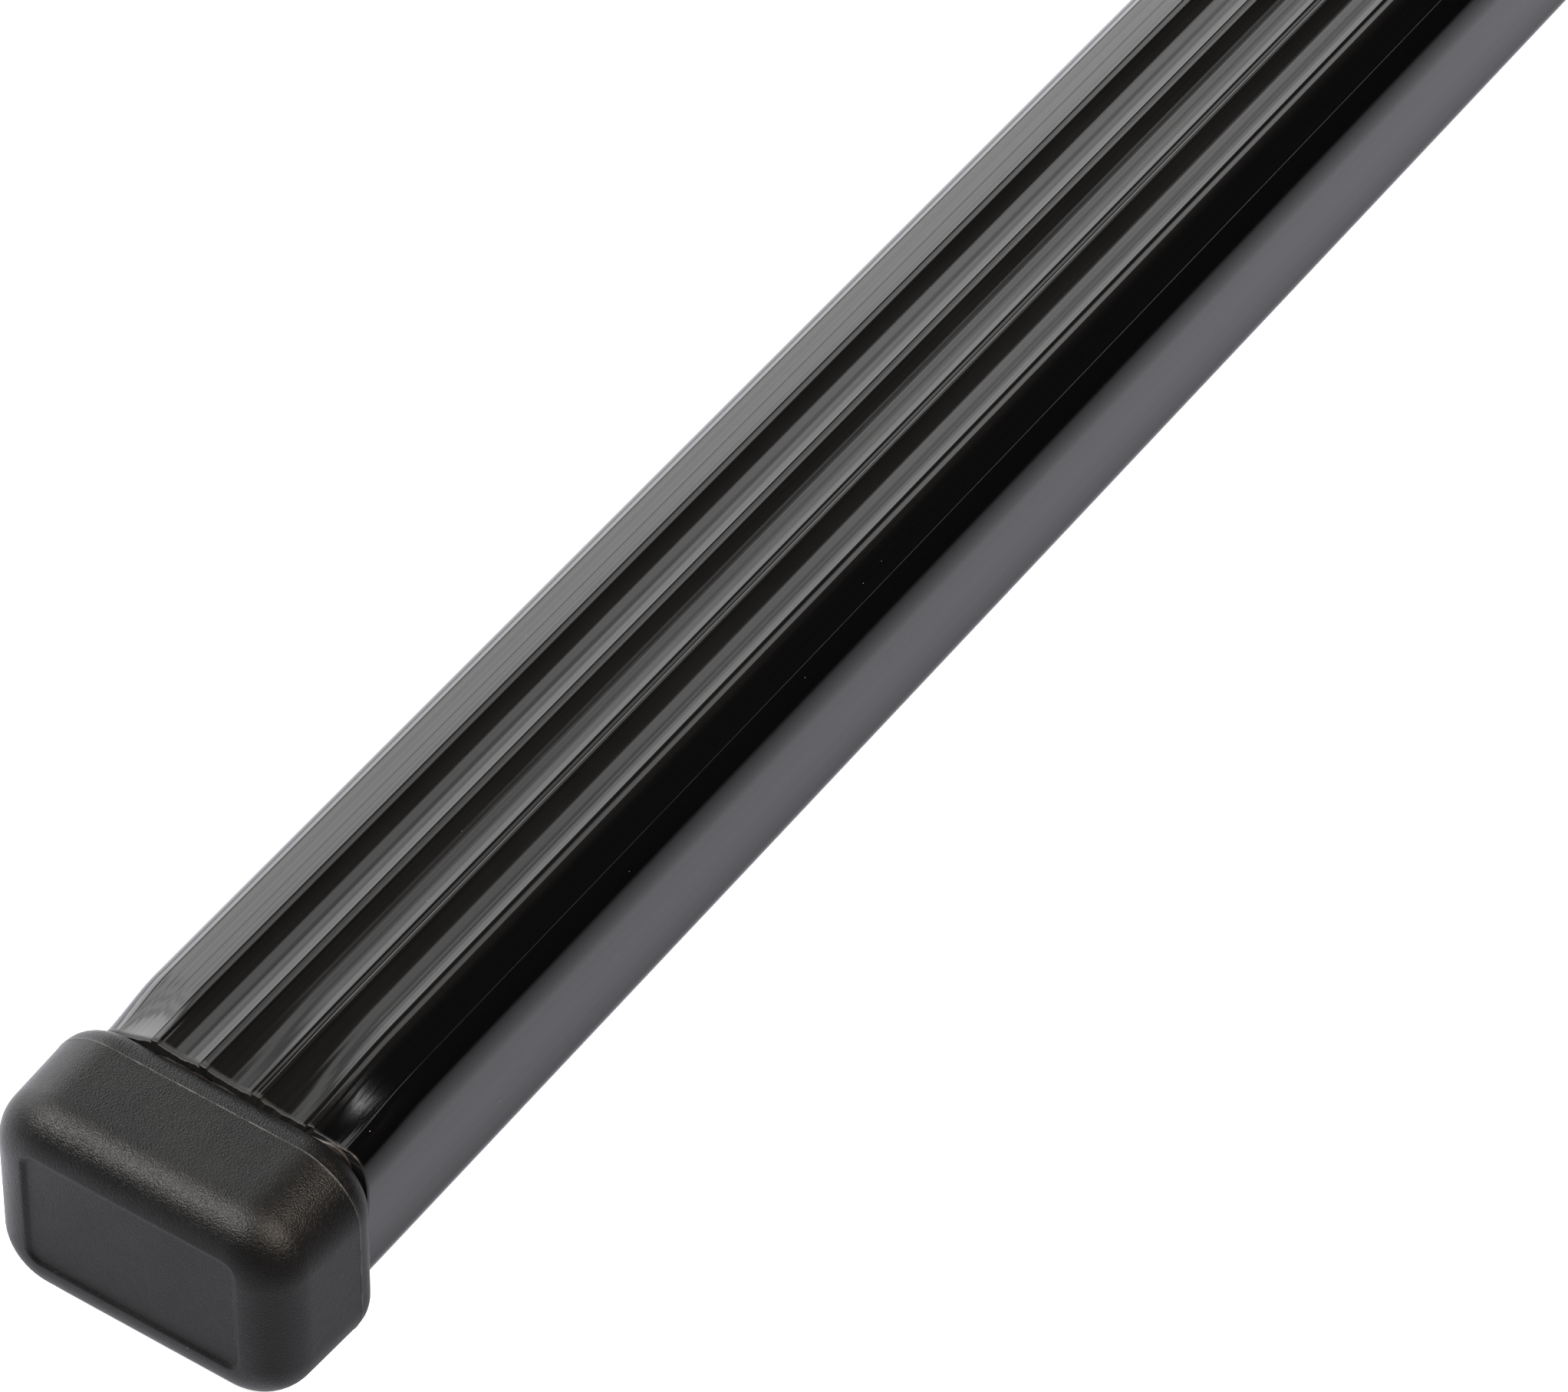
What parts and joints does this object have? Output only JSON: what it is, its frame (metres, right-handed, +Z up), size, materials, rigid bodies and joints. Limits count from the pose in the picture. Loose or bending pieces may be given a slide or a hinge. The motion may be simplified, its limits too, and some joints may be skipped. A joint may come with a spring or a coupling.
{
  "type": "roof rack crossbar",
  "caption": "Roof rack crossbar: steel tube in a glossy black plastic sleeve with a ribbed load face, closed by push-in moulded end caps.",
  "frame": {"origin": "under the middle of the bar, on the plane that its two end caps stand on", "axes": "+X along the bar, +Z up out of the ribbed load face, +Y across the bar"},
  "size_m": [1.18, 0.0382, 0.027],
  "materials": {
    "tube_steel": "plain rolled steel, sawn ends",
    "sleeve_plastic": "extruded gloss black",
    "cap_plastic": "moulded charcoal, fine grain"
  },
  "bodies": {
    "root": {"steel_tube": "tube_steel", "ribbed_sleeve": "sleeve_plastic", "end_cap_left": "cap_plastic", "end_cap_right": "cap_plastic"}
  },
  "joints": []
}
